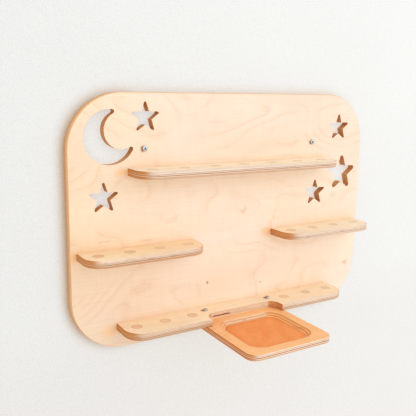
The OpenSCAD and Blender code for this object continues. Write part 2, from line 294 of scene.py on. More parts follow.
@dataclass
class PlyLook:
    """Colours and features of one plywood piece, in millimetres."""

    face: tuple
    warm: tuple  # the face varies between these two colours
    long_edge: tuple  # edge along the grain
    long_right: tuple = None  # the same at the right end, if it differs
    end_edge: tuple = (0.640, 0.295, 0.095)  # end grain of lengthwise plies
    cross_edge: tuple = (0.450, 0.245, 0.140)  # end grain of crosswise plies
    count: int = 9  # plies
    upright: bool = False  # the board, stacked from the front; the rest from the top
    figure: float = 0.8  # strength of the contour lines
    bold: tuple = ()  # how clearly each crosswise ply of a flat piece stands out
    low: float = 0.0  # how much darker and warmer the lower plies of a flat piece are, partly painted shade towards the underside
    marks: tuple = ()  # (u, v, half length, half height, strength, colour) on the face: figure spots and painted shade
    slit: tuple = None  # (left, right, from ply, to ply) of an open void
    left: tuple = None  # face colour at the left of the board
    inner: tuple = None  # face of an opened inner ply, inside the box
    box: tuple = None  # (x0, x1, y0, y1) where the cut edges are quieter and paler
    box_colour: tuple = None
    box_mix: tuple = None  # box colour on edges along and across the grain


class Plywood(Material):
    """Solid plywood: stacked plies with the grain turned by a quarter from ply to ply."""

    def __init__(self, name, node, seed, look):
        super().__init__(name)
        self.seed = seed
        self.look = look
        self.stack(node)
        edge = self.edge_colour()
        self.face_grain()
        face = self.add_marks(self.face_colour())
        self.finish(self.shader(self.mix(self.flat, edge, face)))

    def stack(self, node):
        """Which ply a point is in, and how the surface cuts it."""
        look, seed, count = self.look, self.seed, self.look.count
        low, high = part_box(node)
        self.at = self.position()
        x, y, z = self.split(self.at)
        self.x, self.y, self.z = x, y, z
        normal_x, normal_y, normal_z = self.split(self.geometry("Normal"))
        if look.upright:
            thick = (high.y - low.y) * 1000
            depth = y - low.y * 1000
            second = z
        else:
            self.lit_from_right = self.span(normal_x, over=(0.25, 0.75))
            thick = (high.z - low.z) * 1000
            depth = high.z * 1000 - z
            second = y
        normal_x, normal_y, normal_z = abs(normal_x), abs(normal_y), abs(normal_z)
        facing, crossing = (normal_y, normal_z) if look.upright else (normal_z, normal_y)
        # place on the face, moved so that each piece is cut from another part of the pattern
        u = x + (1000.0 + 137.0 * seed)
        v = second + (1000.0 + 71.0 * seed)
        self.u, self.v, self.second, self.depth = u, v, second, depth

        # the inner plies wander a little
        through = self.math("DIVIDE", depth, thick, clamp=True)
        belly = through * (1.0 - through) * 4.0
        wander = self.noise((u * 0.02, v * 0.02, seed), detail=1.0).swing(0.35)
        # lengthwise and crosswise plies in pairs, the crosswise ones thinner
        pair = THICK + THIN
        total = THICK * (count + 1) / 2 + THIN * (count - 1) / 2
        level = self.limit(through * total + wander * belly, 0.002, total - 0.002)
        whole = self.math("FLOOR", level / pair)
        rest = level - whole * pair
        inside = (self.math("MINIMUM", rest / THICK, 1.0)
                  + self.math("MAXIMUM", (rest - THICK) / THIN, 0.0))
        level = self.limit(whole * 2.0 + inside, 0.002, count - 0.002)
        ply = self.math("FLOOR", level)
        self.through, self.level, self.ply = through, level, ply
        self.cross = ply % 2.0

        # glue lines between plies, none on the outer faces
        joint = self.math("ROUND", level)
        off = abs(level - joint) * (thick / count)
        glue = self.span(off, over=(0.04, 0.15), to=(1.0, 0.0))
        glue = glue * (joint > 0.5) * (joint < count - 0.5)
        patchy = self.noise((u * 0.05, joint, v * 0.05))
        self.glue = glue * self.span(patchy, over=(0.35, 0.6), to=(0.35, 1.0))

        # how far the surface cuts the grain of this ply across
        square_x, square_cross = normal_x * normal_x, crossing * crossing
        share = square_x / (square_x + square_cross + 0.0001)
        self.in_box = 0.0
        if look.box:
            x0, x1, y0, y1 = look.box
            self.in_box = ((x > x0) * (x < x1)) * ((y > y0) * (y < y1))
        full_at = self.mix_float(self.in_box, 0.65, 0.25)
        self.share = self.span(share, over=(0.05, full_at), smooth=True)
        self.end = self.mix_float(self.cross, self.share, 1.0 - self.share)
        self.flat = self.span(facing, over=(0.88, 0.985), smooth=True)
        self.outer = self.math("ADD", ply < 0.5, ply > count - 1.5, clamp=True)

    def edge_colour(self):
        look, seed, u, v, ply = self.look, self.seed, self.u, self.v, self.ply
        random = self.white(ply * 3.71 + seed * 11.3)
        tone = self.noise((u * 0.018, ply * 5.7, v * 0.018), detail=3.0, rough=0.6)
        self.fleck = self.noise((u * 1.1, self.depth * 3.0, v * 1.1), detail=3.0, rough=0.65)
        gain = (random.swing(0.16) + 1.0) + (tone.swing(0.30) + self.fleck.swing(0.16))
        along = look.long_edge
        if look.long_right:
            along = self.mix(self.span(self.x, over=(-120.0, 120.0)), along, look.long_right)
        along = self.tint_by(random * 0.5, along, (0.98, 0.93, 0.89))
        ends = self.mix(self.cross, look.end_edge, look.cross_edge)
        colour = self.mix(self.end, along, ends)
        if not look.upright:
            colour = self.shelf_plies(colour, along)
        if look.box:
            amount = self.in_box * self.mix_float(self.share, *look.box_mix)
            colour = self.mix(amount, colour, look.box_colour)
        if look.upright:
            colour = self.outer_rim(colour)
        else:
            # painted light: edges facing right take the paler lengthwise colour
            colour = self.mix(self.lit_from_right * 0.55, colour, along)
        colour = self.gain(colour, gain)
        dark = self.noise((u * 0.045, ply * 9.3 + seed * 3.1, v * 0.045), detail=1.5)
        dark = self.span(dark, over=(0.62, 0.74), to=(0.0, 0.28))
        self.dark = dark * (1.0 - self.outer)
        return self.mix(self.dark, colour, DARK_PLY)

    def shelf_plies(self, colour, along):
        """Soften the crosswise plies that are not bold, and darken the lower plies, partly as
        their own colour and partly as painted shade towards the underside.
        """
        look = self.look
        quiet = self.cross * (1.0 - look.bold[0])
        for k, bold in enumerate(look.bold):
            here = self.math("COMPARE", self.ply, 2.0 * k + 1.0, 0.5)
            quiet = self.mix_float(here, quiet, 1.0 - bold)
        quiet = self.mix_float(self.in_box, quiet, 0.35) * self.cross
        colour = self.mix(quiet, colour, self.mix(self.share, along, look.end_edge))
        # in_box is a plain number on pieces without a box
        low = self.math("SUBTRACT", 1.0, self.in_box) * look.low
        # darker, warmer lower plies: partly ply colour, partly painted shade
        deepen = self.span(self.through, over=(0.35, 1.0)) * low
        colour = self.tint_by(deepen, colour, (0.86, 0.64, 0.46))
        # painted shade along the bottom arris
        underside_shade = self.span(self.through, over=(0.86, 0.97), to=(0.0, 0.75)) * low
        return self.mix(underside_shade, colour, UNDERSIDE_SHADE_COLOUR)

    def outer_rim(self, colour):
        """The board's outer edge is paler than the edges of its openings."""
        reach = self.beyond(self.x, BOARD_HALF_WIDTH - BOARD_CORNER,
                            self.z - BOARD_MIDDLE_Z, BOARD_HALF_HEIGHT - BOARD_CORNER)
        along = self.mix(self.through, (0.960, 0.730, 0.490), (0.830, 0.550, 0.335))
        ends = self.mix(self.through, (0.910, 0.590, 0.330), (0.740, 0.395, 0.185))
        on_rim = reach > BOARD_CORNER - EDGE_MARGIN
        return self.mix(on_rim, colour, self.mix(self.cross, ends, along))

    def face_grain(self):
        """Broad tone, thin wandering contours, striations and short pores."""
        layer = self.ply * 17.0

        def turned(a, b):
            return self.mix_float(self.cross * (1.0 - self.outer), a, b)

        with_grain = turned(self.u, self.v)
        over_grain = turned(self.v, self.u)

        def grain(along, across, third=layer, **settings):
            return self.noise((with_grain * along, over_grain * across, third), **settings)

        self.broad = grain(along=0.0045, across=0.011)
        self.hue = grain(along=0.008, across=0.02, third=layer + 40.0)
        contour = grain(along=0.0042, across=0.0068, third=layer + (7.0 + self.seed),
                        detail=1.4, rough=0.45, distortion=0.15)
        fray = grain(along=0.035, across=0.16, detail=3.0, rough=0.6)
        lines = self.math("FRACT", contour * 15.0 + fray * 0.22)
        thin = self.span(abs(lines - 0.5), over=(0.0, 0.16), to=(0.42, 0.0), smooth=True)
        soft = self.span(lines, over=(0.5, 1.0), to=(0.85, 0.0)) * (lines > 0.5)
        breaks = grain(along=0.009, across=0.02, third=layer + 3.0)
        breaks = self.span(breaks, over=(0.42, 0.62), smooth=True)
        self.contours = self.math("ADD", thin, soft * 0.45, clamp=True) * breaks
        self.stria = grain(along=0.012, across=0.55, detail=4.0, rough=0.6)
        self.fine = grain(along=0.09, across=2.6, detail=3.0, rough=0.6)
        pores = grain(along=0.16, across=2.1, third=layer + 9.0)
        self.pores = self.span(pores, over=(0.63, 0.76))
        self.flame = grain(along=0.10, across=0.018)

    def face_colour(self):
        look = self.look
        base = self.mix(self.span(self.hue, over=(0.35, 0.68)), look.face, look.warm)
        if look.left:
            base = self.board_tones(base)
        if look.inner:
            base = self.mix((1.0 - self.outer) * self.flat, base, look.inner)
        gain = (1.0 + self.broad.swing(0.12) + self.stria.swing(0.13)
                + self.fine.swing(0.07) + self.flame.swing(0.06))
        colour = self.gain(base, gain)
        colour = self.tint_by(self.contours * (0.34 * look.figure), colour, FIGURE)
        if look.inner:
            colour = self.opened_ply(colour)
        return self.mix(self.pores * 0.12, colour, PORE)

    def board_tones(self, base):
        """Warmer at the left, with slight shifts at the upper right and the lower left."""
        x, z = self.x, self.z
        at_left = self.span(x, over=(-300.0, -110.0), to=(0.95, 0.0))
        in_front = self.span(self.through, over=(0.1, 0.3), to=(1.0, 0.0))
        base = self.mix(at_left * in_front, base, self.look.left)
        above = self.span(z, over=(-70.0, 40.0)) * self.span(x, over=(-200.0, -60.0))
        base = self.tint_by(above, base, (0.985, 0.945, 0.935))
        below = self.span(z, over=(-150.0, -240.0)) * self.span(x, over=(-60.0, -180.0))
        return self.tint_by(below, base, (0.965, 0.950, 0.958))

    def opened_ply(self, colour):
        """Mottled figure of the opened inner ply, with painted shade towards the walls round it.
        """
        x, y, inner = self.x, self.y, self.look.inner
        slant = x * 0.050 + y * -0.030
        across = x * 0.012 + y * 0.020
        mottle = self.noise((slant, across, 3.0), detail=4.0, rough=0.6)
        deepen = self.span(mottle, over=(0.40, 0.66)) * (1.0 - self.outer) * 0.75
        colour = self.mix(deepen, colour, scaled(inner, (0.95, 0.80, 0.68)))
        x0, x1, y0, y1 = self.look.box
        from_x = x - (x0 + x1) / 2
        from_y = y - (y0 + y1) / 2
        reach = self.beyond(from_x, 33.0, from_y, 31.0)
        side = self.math("ADD", self.span(from_x, over=(40.0, -40.0), to=(0.25, 0.70)),
                         self.span(from_y, over=(-20.0, 45.0), to=(0.0, 0.40)), clamp=True)
        # painted shade on the floor next to the walls, most at the left and the back
        foot_shade = self.span(reach, over=(12.0, 22.0), smooth=True) * side * (1.0 - self.outer)
        return self.mix(foot_shade, colour, scaled(inner, (0.90, 0.72, 0.55)))

    def add_marks(self, colour):
        """Spots with a ragged outline on the outermost ply: figure spots, and painted shade and
        shadows.
        """
        for mark_u, mark_v, length, height, strength, mark_colour in self.look.marks:
            from_u = (self.x - mark_u) / length
            from_v = (self.second - mark_v) / height
            ragged = self.noise((self.u * 0.11, self.v * 0.11, 5.0), detail=3.0, rough=0.6)
            reach = self.hypot(from_u, from_v) + ragged.swing(1.5)
            spot = self.span(reach, over=(0.25, 1.15), to=(1.0, 0.0), smooth=True) * strength
            colour = self.mix(spot * (self.ply < 0.5), colour, mark_colour)
        return colour

    def open_slit(self, colour):
        """A void in an inner ply, open at the edge."""
        left, right, ply_from, ply_to = self.look.slit
        soft = 3.0
        inside = (self.span(self.x, over=(left, left + soft))
                  * self.span(self.x, over=(right - soft, right), to=(1.0, 0.0)))
        band = (self.level > ply_from) * (self.level < ply_to)
        hole = inside * band * (1.0 - self.flat)
        return self.mix(hole * 0.95, colour, VOID)

    def shader(self, colour):
        look, flat = self.look, self.flat
        colour = self.mix(self.glue * (0.40 - flat * 0.36), colour, GLUE)
        if look.slit:
            colour = self.open_slit(colour)
        # painted warm shade in corners and beside other pieces, but not on the board's back
        nook_shade = self.span(self.openness(distance=0.013, samples=6), over=(0.95, 0.40),
                         to=(0.0, 0.45))
        if look.upright:
            nook_shade = nook_shade * self.span(self.through, over=(0.90, 0.99), to=(1.0, 0.0))
        colour = self.tint_by(nook_shade, colour, (0.98, 0.83, 0.66))
        # worn arrises, made paler partly as wear and partly as a painted highlight
        patchy = self.noise(self.at, scale=0.05, detail=3.0)
        worn_and_highlight = self.sharpness(0.0016) * self.span(patchy, over=(0.35, 0.65), to=(0.35, 1.0))
        worn_highlight_colour = tuple(min(1.0, c * 1.08) for c in look.long_edge)
        colour = self.mix(worn_and_highlight * 0.28, colour, worn_highlight_colour)

        rough = 0.50 + self.stria.swing(0.18)
        rough = self.mix_float(1.0 - flat, rough, 0.60 + self.end * 0.12) - worn_and_highlight * 0.06
        face_height = self.fine * 0.030 + self.stria * 0.025 - self.pores * 0.03
        edge_height = self.fleck * 0.06 - (self.glue * 0.05 + self.dark * 0.05)
        height = self.mix_float(flat, edge_height, face_height)
        normal = self.bump(height, strength=0.7)
        return self.surface(colour, rough, normal, Specular_IOR_Level=0.32)


TAN = (0.66, 0.42, 0.22)
ORANGE = (0.52, 0.23, 0.075)
WARM_SHADE = (0.930, 0.640, 0.370)

# x, z, half length, half height, strength, colour
BOARD_MARKS_AND_SHADE = (
    (-124, -123, 16, 7, 0.15, TAN), (-118, -116, 7, 4, 0.12, TAN),
    (19, -120, 8, 5, 0.32, TAN), (25, -116, 4, 6, 0.22, TAN),
    (278, -250, 9, 6, 0.30, ORANGE), (235, -107, 11, 7, 0.14, TAN),
    (-53, -243, 2.8, 3.0, 0.75, ORANGE), (63, -260, 3.0, 2.8, 0.30, ORANGE),
    (-243, -145, 16, 2.5, 0.24, TAN), (-172, -151, 18, 2.5, 0.22, TAN),
    (-40, 40, 22, 4, 0.10, TAN),
    # painted shadows of the wall screw heads, to their left
    (-176.6, -0.6, 5.6, 5.6, 0.80, ORANGE), (170.4, -0.6, 5.6, 5.6, 0.80, ORANGE),
    # painted warm shade beside the ends of the shelves
    (-212.0, -36.0, 15, 9, 0.70, WARM_SHADE), (76.0, -163.0, 17, 12, 0.75, WARM_SHADE),
    (83.0, -148.0, 4, 9, 0.40, WARM_SHADE), (90.0, -138.0, 5, 10, 0.35, WARM_SHADE),
    (-294.0, -164.0, 9, 12, 0.70, WARM_SHADE), (-237.0, -297.0, 21, 13, 0.60, WARM_SHADE),
)
# x, y, half length, half height, strength, colour: painted shadows of the tray screw heads, to
# their left
TRAY_SCREW_SHADOWS = ((-70.8, -33.9, 6.4, 5.4, 0.90, ORANGE), (63.7, -33.9, 6.4, 5.4, 0.90, ORANGE))

PLYWOOD = {
    "back_board": ("board_plywood", PlyLook(
        face=(0.930, 0.805, 0.690), warm=(0.920, 0.780, 0.645), left=(0.900, 0.730, 0.555),
        long_edge=(0.840, 0.600, 0.370), end_edge=BOARD_END, cross_edge=BOARD_END,
        count=11, upright=True, figure=1.0, marks=BOARD_MARKS_AND_SHADE)),
    "upper_shelf": ("upper_shelf_plywood", PlyLook(
        face=SHELF_FACE, warm=SHELF_WARM, long_edge=(0.835, 0.722, 0.618),
        bold=(0.10, 0.60, 1.00, 0.40), low=0.60)),
    "left_shelf": ("left_shelf_plywood", PlyLook(
        face=(0.970, 0.820, 0.620), warm=(0.955, 0.768, 0.550), long_edge=(0.825, 0.680, 0.550),
        bold=(0.10, 0.45, 1.00, 0.70), low=0.90)),
    "right_shelf": ("right_shelf_plywood", PlyLook(
        face=SHELF_FACE, warm=SHELF_WARM, long_edge=RIGHT_EDGE,
        bold=(0.20, 0.45, 0.65, 0.35), low=0.10)),
    "bottom_shelf": ("bottom_shelf_plywood", PlyLook(
        face=(0.975, 0.845, 0.675), warm=(0.965, 0.810, 0.620),
        long_edge=(0.775, 0.620, 0.475), long_right=RIGHT_EDGE,
        bold=(0.10, 0.40, 0.90, 0.50), low=0.60, marks=TRAY_SCREW_SHADOWS,
        slit=(-62.0, -24.0, 4.75, 6.35), box=(-76.0, 70.0, -60.0, -20.0),
        box_colour=(0.940, 0.850, 0.720), box_mix=(0.42, 0.0))),
    "tray": ("tray_plywood", PlyLook(
        face=(0.980, 0.640, 0.360), warm=(0.968, 0.605, 0.325), inner=(0.950, 0.448, 0.188),
        long_edge=(0.940, 0.780, 0.625), end_edge=(0.665, 0.270, 0.086),
        cross_edge=(0.420, 0.140, 0.080), count=7, figure=0.9,
        bold=(0.50, 1.00, 0.55), low=0.32, box=(-71.0, 58.5, -190.0, -65.0),
        box_colour=(0.990, 0.575, 0.250), box_mix=(0.32, 0.60))),
}
for k, (node, (name, look)) in enumerate(PLYWOOD.items()):
    dress(node, Plywood(name, node, 1.0 + k, look).material)


# ---------------------------------------------------------------- wood plugs


def plug_wood(node, count, seed, pale):
    """End grain: rings round a centre that differs from plug to plug, rays and a darker rim.
    pale holds how pale the first and the last plug are."""
    mat = Material(node + "_wood")
    low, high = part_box(node)
    radius = (high.y - low.y) * 500
    first = low.x * 1000 + radius
    pitch = ((high.x - low.x) * 1000 - 2 * radius) / (count - 1)
    x, y, _ = mat.split(mat.position())
    plug = mat.math("ROUND", (x - first) / pitch)
    from_x = (x - first) - plug * pitch
    from_y = y - (low.y + high.y) * 500
    random = mat.white(plug + seed * 7.7)
    random_2 = mat.white(plug + (seed * 13.1 + 50.0))

    # the centre of the rings lies outside the plug
    turn = random * 6.283
    away = 14.0 + random_2 * 26.0
    ring_x = from_x - mat.math("COSINE", turn) * away
    ring_y = from_y - mat.math("SINE", turn) * away
    distance = mat.hypot(ring_x, ring_y)
    angle = mat.math("ARCTAN2", ring_y, ring_x)
    warp = mat.noise((from_x, from_y, plug), scale=0.16) * 1.2
    ring = mat.math("FRACT", (distance + warp) * 0.55)
    ring = ring * ring
    ray = mat.noise((angle * 60.0, distance * 0.4, plug))
    pore = mat.noise((from_x, from_y, plug + 3.0), scale=2.6, rough=0.6)
    rim = mat.span(mat.hypot(from_x, from_y), over=(radius - 1.1, radius - 0.1), smooth=True)

    gain = 1.0 + random_2.swing(0.08) - ring * 0.13 + ray.swing(0.08)
    gain = gain - mat.span(pore, over=(0.58, 0.72)) * 0.12
    base = mat.mix(random, (0.860, 0.605, 0.410), (0.885, 0.640, 0.440))
    paleness = mat.span(plug, over=(0.0, count - 1.0), to=pale)
    base = mat.mix(paleness, base, (0.915, 0.775, 0.600))
    colour = mat.mix(rim * 0.22, mat.gain(base, gain), (0.55, 0.33, 0.20))
    rough = 0.52 + pore.swing(0.2)
    height = ring * 0.02 - mat.span(pore, over=(0.58, 0.72)) * 0.04
    normal = mat.bump(height, strength=0.7)
    return mat.finish(mat.surface(colour, rough, normal, Specular_IOR_Level=0.3))


# node, number of plugs, how pale the first and the last are
PLUGS = (
    ("upper_discs", 7, (0.65, 0.65)),
    ("left_discs", 4, (0.0, 0.5)),
    ("right_discs", 4, (0.45, 1.0)),
    ("bottom_left_discs", 3, (0.25, 0.4)),
    ("bottom_right_discs", 3, (0.35, 0.95)),
)
for k, (node, count, pale) in enumerate(PLUGS):
    dress(node, plug_wood(node, count, 1.0 + k, pale))


# ---------------------------------------------------------------- mesh helpers


def solid_object(name, verts, faces):
    """An object with its normals turned outwards."""
    mesh = bpy.data.meshes.new(name)
    mesh.from_pydata(verts, [], faces)
    mesh.validate()
    bm = bmesh.new()
    bm.from_mesh(mesh)
    bmesh.ops.recalc_face_normals(bm, faces=bm.faces)
    bm.to_mesh(mesh)
    bm.free()
    solid = bpy.data.objects.new(name, mesh)
    scene.collection.objects.link(solid)
    return solid


def lathe(rows, around):
    """Closed skin from rows of (height, radius or radius at each angle), capped at both ends."""
    verts, faces = [], []
    for height, radii in rows:
        for j in range(around):
            angle = 2 * math.pi * j / around
            radius = radii[j] if hasattr(radii, "__len__") else radii
            verts.append((radius * math.cos(angle), radius * math.sin(angle), height))
    for row in range(len(rows) - 1):
        start, above = row * around, (row + 1) * around
        for j in range(around):
            j2 = (j + 1) % around
            faces.append((start + j, start + j2, above + j2, above + j))
    for row in (0, len(rows) - 1):
        centre = len(verts)
        verts.append((0, 0, rows[row][0]))
        for j in range(around):
            faces.append((centre, row * around + j, row * around + (j + 1) % around))
    return verts, faces


def threaded(top, plain_to, tip, shank, root, crest, pitch):
    """Plain shank down to plain_to, then a helical thread down to a gimlet point."""
    around = 28
    rows_per_turn = 9
    taper = 5.0  # length of the point
    rows = [(top, shank), (plain_to, shank)]
    count = max(8, int(round((plain_to - tip) / pitch * rows_per_turn)))
    for k in range(1, count + 1):
        height = plain_to - (plain_to - tip) * k / count
        near = min(1.0, max(0.0, (height - tip) / taper))
        start = min(1.0, (plain_to - height) / (0.8 * pitch))
        body = root * (0.12 + 0.88 * near ** 0.75)
        ridge = (crest - root) * start * min(1.0, near * 1.6 + 0.05)
        radii = []
        for j in range(around):
            phase = (height / pitch - j / around) % 1.0
            radii.append(body + ridge * max(0.0, 1.0 - abs(phase - 0.5) / 0.24))
        rows.append((height, radii))
    return lathe(rows, around)


def cross_cutter(arm, half_width, depth, top):
    """Cross-shaped plug that narrows downwards."""
    ring = []
    for k in range(4):
        angle = math.radians(90 * k + 45)
        cosine, sine = math.cos(angle), math.sin(angle)
        for x, y in ((arm, -half_width), (arm, half_width), (half_width, half_width)):
            ring.append((x * cosine - y * sine, x * sine + y * cosine))
    verts = [(x, y, top + 0.6) for x, y in ring]
    verts += [(x * 0.55, y * 0.8, top - depth) for x, y in ring]
    n = len(ring)
    faces = [tuple(range(n)), tuple(range(2 * n - 1, n - 1, -1))]
    faces += [(j, (j + 1) % n, n + (j + 1) % n, n + j) for j in range(n)]
    return solid_object("cutter", verts, faces)


def screw_head(profile, arm, half_width, depth, top):
    """Head turned from (radius, height) points, with a cross recess cut into its top."""
    blank = solid_object("head_blank", *lathe([(h, r) for r, h in profile], around=48))
    cutter = cross_cutter(arm, half_width, depth, top)
    cut = blank.modifiers.new("cut", "BOOLEAN")
    cut.operation = "DIFFERENCE"
    cut.solver = "EXACT"
    cut.object = cutter
    evaluated = blank.evaluated_get(bpy.context.evaluated_depsgraph_get())
    made = evaluated.to_mesh()
    verts = [tuple(vert.co) for vert in made.vertices]
    faces = [tuple(face.vertices) for face in made.polygons]
    evaluated.to_mesh_clear()
    for helper in (blank, cutter):
        bpy.data.objects.remove(helper)
    return verts, faces


def join(parts):
    verts, faces = [], []
    for part_verts, part_faces in parts:
        base = len(verts)
        verts.extend(part_verts)
        faces.extend(tuple(base + k for k in face) for face in part_faces)
    return verts, faces


def placed(parts, places, turn):
    """Copies of parts (millimetres, head up): each spun, turned by a rotation matrix and
    moved to its place, given as (centre in millimetres, spin)."""
    verts, faces = join(parts)
    points = np.array(verts, float)
    rotation = np.array(turn, float)
    copies = []
    for centre, spin in places:
        cosine, sine = math.cos(spin), math.sin(spin)
        spun = points @ np.array([[cosine, sine, 0], [-sine, cosine, 0], [0, 0, 1]])
        moved = (spun @ rotation.T + np.array(centre, float)) * MM
        copies.append(([tuple(point) for point in moved], faces))
    return join(copies)


def centres(node, radius, count):
    """X of the evenly spaced parts in a CAD node."""
    low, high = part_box(node)
    first, last = low.x * 1000 + radius, high.x * 1000 - radius
    return [first + (last - first) * k / (count - 1) for k in range(count)]


def add_piece(node, suffix, shape, material, smooth_degrees=35.0):
    """An object that takes the place of a CAD node."""
    piece = solid_object(node + suffix, *shape)
    piece.data.materials.append(material)
    piece.data.shade_smooth()
    piece.data.set_sharp_from_angle(angle=math.radians(smooth_degrees))
    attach(piece, "root")
    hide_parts(node)


# what the head looks towards
TO_FRONT = Matrix.Rotation(math.radians(90), 3, "X")
TO_BACK = Matrix.Rotation(math.radians(-90), 3, "X")
UP = Matrix.Identity(3)


# ---------------------------------------------------------------- screws


def zinc(name):
    """Bright zinc: uneven tone, pale edges, painted shade in the recesses, painted warm shade on
    the sides facing left.
    """
    mat = Material(name)
    at = mat.position()
    coarse = mat.noise(at, scale=0.9, detail=4.0, rough=0.6)
    fine = mat.noise(at, scale=6.0, detail=3.0, rough=0.6)
    tone = mat.span(coarse, over=(0.35, 0.65))
    colour = mat.mix(tone, (0.56, 0.64, 0.68), (0.72, 0.77, 0.80))
    colour = mat.mix(mat.sharpness(0.0003) * 0.5, colour, (0.90, 0.92, 0.93))
    # painted shade: darker in the recesses, in patches
    recess_shade = mat.span(mat.openness(distance=0.0025, samples=8), over=(0.80, 0.35), to=(0.0, 0.92))
    recess_shade = recess_shade * mat.span(fine, over=(0.25, 0.5), to=(0.7, 1.0))
    # less painted shade on the heads in the back face, which the wall covers
    recess_shade = recess_shade * mat.span(mat.split(at)[1], over=(-2.5, -1.5), to=(1.0, 0.15))
    normal_x = mat.split(mat.geometry("Normal"))[0]
    # painted warm shade on the sides of the heads that face left
    left_shade = mat.span(normal_x, over=(-0.25, -0.75), to=(0.0, 0.75))
    colour = mat.mix(recess_shade, colour, (0.16, 0.17, 0.17))
    colour = mat.mix(left_shade, colour, (0.42, 0.24, 0.12))
    rough = 0.22 + fine * 0.16
    normal = mat.bump(fine * 0.02 + coarse * 0.03, strength=0.5)
    return mat.finish(mat.surface(colour, rough, normal, Metallic=1.0))


# radii and pitch of the threads
WALL_THREAD = dict(shank=1.8, root=1.65, crest=2.45, pitch=2.1)
WOOD_THREAD = dict(shank=1.95, root=1.35, crest=1.98, pitch=1.8)
# outline of a pan head from the top down: share of the radius, share of the height
PAN = ((0.5, 0.97), (0.75, 0.86), (0.86, 0.74), (0.94, 0.58), (0.985, 0.38), (1.0, 0.16),
       (0.985, 0.03))
SHANK_TOP = 0.4  # the shank starts this far up inside a pan head

screw_zinc = zinc("screw_zinc")


def pan_head(radius, height):
    profile = [(radius * 0.22, height)]
    profile += [(radius * across, height * up) for across, up in PAN]
    profile += [(radius * 0.45, 0.03)]
    return screw_head(profile, arm=radius * 0.60, half_width=0.62, depth=height * 0.66, top=height)


def add_wall_screws():
    """Two pan heads on the front of the board, threaded from just behind it."""
    low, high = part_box("wall_screws")
    radius = (high.z - low.z) * 500
    board_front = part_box("back_board")[0].y * 1000
    length = high.y * 1000 - board_front
    parts = [pan_head(radius, board_front - low.y * 1000),
             threaded(SHANK_TOP, board_front - 0.5, -length, **WALL_THREAD)]
    places = [((x, board_front, 0.0), 0.35 + k * 0.9)
              for k, x in enumerate(centres("wall_screws", radius, 2))]
    shape = placed(parts, places, TO_FRONT)
    add_piece("wall_screws", "_threaded", shape, screw_zinc)


def add_tray_screws():
    """Two pan heads on top of the bottom shelf."""
    low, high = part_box("tray_screws")
    radius = (high.y - low.y) * 500
    shelf_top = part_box("bottom_shelf")[1].z * 1000
    parts = [pan_head(radius, high.z * 1000 - shelf_top),
             threaded(SHANK_TOP, -5.0, low.z * 1000 - shelf_top, **WOOD_THREAD)]
    places = [((x, (low.y + high.y) * 500, shelf_top), 0.2 + k * 0.7)
              for k, x in enumerate(centres("tray_screws", radius, 2))]
    shape = placed(parts, places, UP)
    add_piece("tray_screws", "_threaded", shape, screw_zinc)


def add_shelf_screws(node, count):
    """Screws countersunk in the back face of the board."""
    low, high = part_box(node)
    radius = (high.z - low.z) * 500
    length = (high.y - low.y) * 1000
    rim, neck = 0.45, 2.0  # depth of the rim, radius where the 45 degree cone ends
    profile = [(radius * 0.3, 0.0), (radius * 0.95, 0.0), (radius, -0.08), (radius, -rim),
               (neck, -rim - (radius - neck)), (1.6, -2.5)]
    parts = [screw_head(profile, arm=radius * 0.55, half_width=0.45, depth=1.5, top=0.0),
             threaded(-1.7, -14.0, -length, **WOOD_THREAD)]
    places = [((x, high.y * 1000, (low.z + high.z) * 500), 0.3 + k * 1.1)
              for k, x in enumerate(centres(node, radius, count))]
    shape = placed(parts, places, TO_BACK)
    add_piece(node, "_threaded", shape, screw_zinc)


add_wall_screws()
add_tray_screws()
for shelf, count in (("upper", 3), ("left", 2), ("right", 2), ("bottom", 3)):
    add_shelf_screws(shelf + "_shelf_screws", count)


# ---------------------------------------------------------------- dowels


def beech(name):
    """Streaks along Y with short darker rays."""
    mat = Material(name)
    x, y, z = mat.split(mat.position())
    streak = mat.noise((x * 1.6, y * 0.12, z * 1.6), detail=4.0, rough=0.6)
    ray = mat.span(mat.noise((x * 3.0, y * 0.5, z * 3.0)), over=(0.6, 0.7))
    colour = mat.mix(streak, (0.56, 0.34, 0.19), (0.74, 0.53, 0.34))
    colour = mat.mix(ray * 0.4, colour, (0.42, 0.22, 0.11))
    rough = 0.55 + streak * 0.15
    normal = mat.bump(streak, strength=0.5, distance=0.0001)
    return mat.finish(mat.surface(colour, rough, normal, Specular_IOR_Level=0.3))


def add_dowels(node, material):
    """Two fluted dowels with chamfered ends."""
    around, flutes, steps = 48, 12, 8
    flute_from = 0.7  # from each end
    low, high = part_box(node)
    radius = (high.z - low.z) * 500
    length = (high.y - low.y) * 1000
    fluted = [radius * (1.0 - 0.07 * max(0.0, math.cos(math.pi * 2 * j * flutes / around)) ** 2)
              for j in range(around)]
    rows = [(0.0, radius - 0.6), (-0.3, radius - 0.25), (-flute_from, fluted)]
    rows += [(-flute_from - (length - 2 * flute_from) * k / steps, fluted)
             for k in range(1, steps + 1)]
    rows += [(-length + 0.3, radius - 0.25), (-length, radius - 0.6)]
    places = [((x, high.y * 1000, (low.z + high.z) * 500), 0.0)
              for x in centres(node, radius, 2)]
    shape = placed([lathe(rows, around)], places, TO_BACK)
    add_piece(node, "_fluted", shape, material, smooth_degrees=30.0)


dowel_beech = beech("dowel_beech")
for shelf in ("upper", "left", "right", "bottom"):
    add_dowels(shelf + "_dowels", dowel_beech)


# ---------------------------------------------------------------- wall and floor


